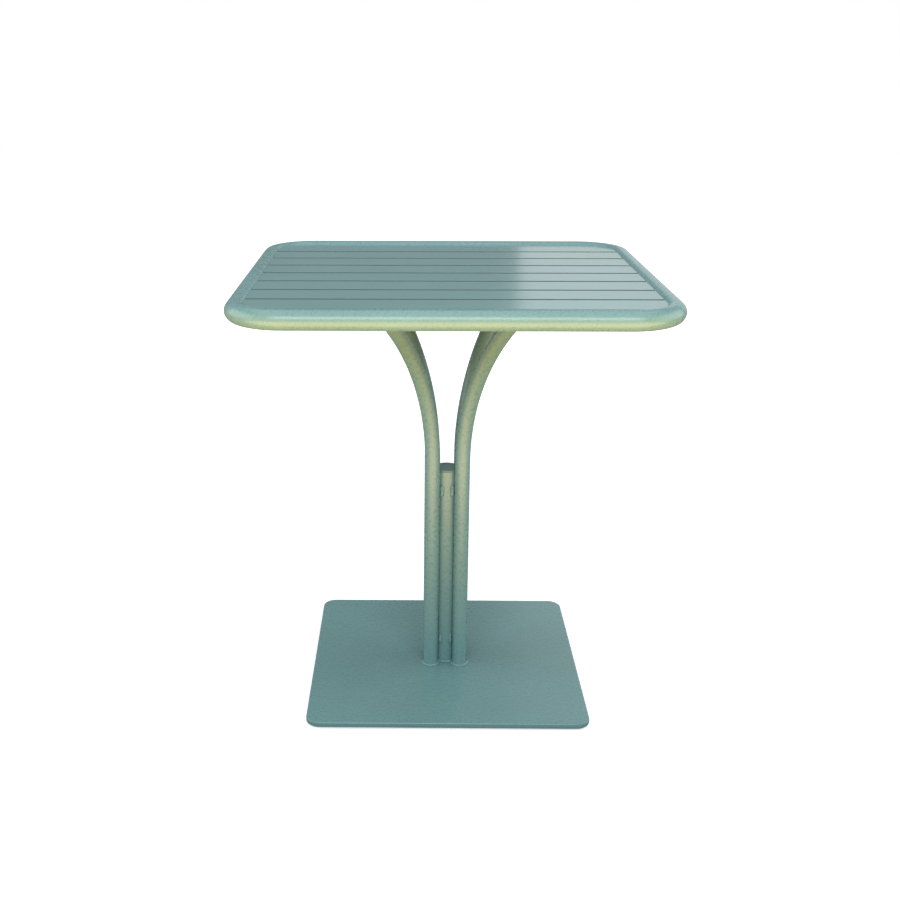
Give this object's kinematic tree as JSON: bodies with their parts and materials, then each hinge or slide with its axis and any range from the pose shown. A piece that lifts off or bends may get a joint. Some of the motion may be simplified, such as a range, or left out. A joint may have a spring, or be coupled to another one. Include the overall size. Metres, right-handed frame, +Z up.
{
  "type": "bistro table",
  "caption": "Square slatted steel table top in a bent-tube rim, carried by flared column tubes round a centre post on a square base plate with levelling glides.",
  "frame": {"origin": "on the floor at the centre of the table", "axes": "+Z up; -Y is the front, with the slats running along X"},
  "size_m": [0.7, 0.7, 0.75],
  "materials": {
    "paint": "satin blue-green powder coat",
    "zinc": "zinc-plated",
    "glide_nylon": "moulded, matt"
  },
  "bodies": {
    "table": {"base_plate": "paint", "centre_post": "paint", "post_cap": "paint", "column_tube_front_left": "paint", "column_tube_front_right": "paint", "column_tube_back_right": "paint", "column_tube_back_left": "paint", "foot_weld": "paint", "stitch_weld_lower_front_left_a": "paint", "stitch_weld_lower_front_left_b": "paint", "stitch_weld_lower_front_right_a": "paint", "stitch_weld_lower_front_right_b": "paint", "stitch_weld_lower_back_right_a": "paint", "stitch_weld_lower_back_right_b": "paint", "stitch_weld_lower_back_left_a": "paint", "stitch_weld_lower_back_left_b": "paint", "stitch_weld_upper_front_left_a": "paint", "stitch_weld_upper_front_left_b": "paint", "stitch_weld_upper_front_right_a": "paint", "stitch_weld_upper_front_right_b": "paint", "stitch_weld_upper_back_right_a": "paint", "stitch_weld_upper_back_right_b": "paint", "stitch_weld_upper_back_left_a": "paint", "stitch_weld_upper_back_left_b": "paint", "mounting_bar_left": "paint", "mounting_bar_right": "paint", "column_top_weld_front_left": "paint", "column_top_weld_front_right": "paint", "column_top_weld_back_right": "paint", "column_top_weld_back_left": "paint", "cross_rail_left": "paint", "cross_rail_right": "paint", "slat_1": "paint", "slat_2": "paint", "slat_3": "paint", "slat_4": "paint", "slat_5": "paint", "slat_6": "paint", "slat_7": "paint", "slat_8": "paint", "rim_tube": "paint", "washer_front_left": "zinc", "bolt_front_left": "zinc", "washer_front_right": "zinc", "bolt_front_right": "zinc", "washer_back_right": "zinc", "bolt_back_right": "zinc", "washer_back_left": "zinc", "bolt_back_left": "zinc"},
    "glide_front_left": {"glide_pad_front_left": "glide_nylon", "glide_stud_front_left": "zinc"},
    "glide_front_right": {"glide_pad_front_right": "glide_nylon", "glide_stud_front_right": "zinc"},
    "glide_back_right": {"glide_pad_back_right": "glide_nylon", "glide_stud_back_right": "zinc"},
    "glide_back_left": {"glide_pad_back_left": "glide_nylon", "glide_stud_back_left": "zinc"}
  },
  "joints": [
    {"name": "glide_front_left_adjust", "type": "slide", "parent": "table", "child": "glide_front_left", "axis": [0, 0, -1], "range_m": [0, 0.005]},
    {"name": "glide_front_right_adjust", "type": "slide", "parent": "table", "child": "glide_front_right", "axis": [0, 0, -1], "range_m": [0, 0.005]},
    {"name": "glide_back_right_adjust", "type": "slide", "parent": "table", "child": "glide_back_right", "axis": [0, 0, -1], "range_m": [0, 0.005]},
    {"name": "glide_back_left_adjust", "type": "slide", "parent": "table", "child": "glide_back_left", "axis": [0, 0, -1], "range_m": [0, 0.005]}
  ]
}
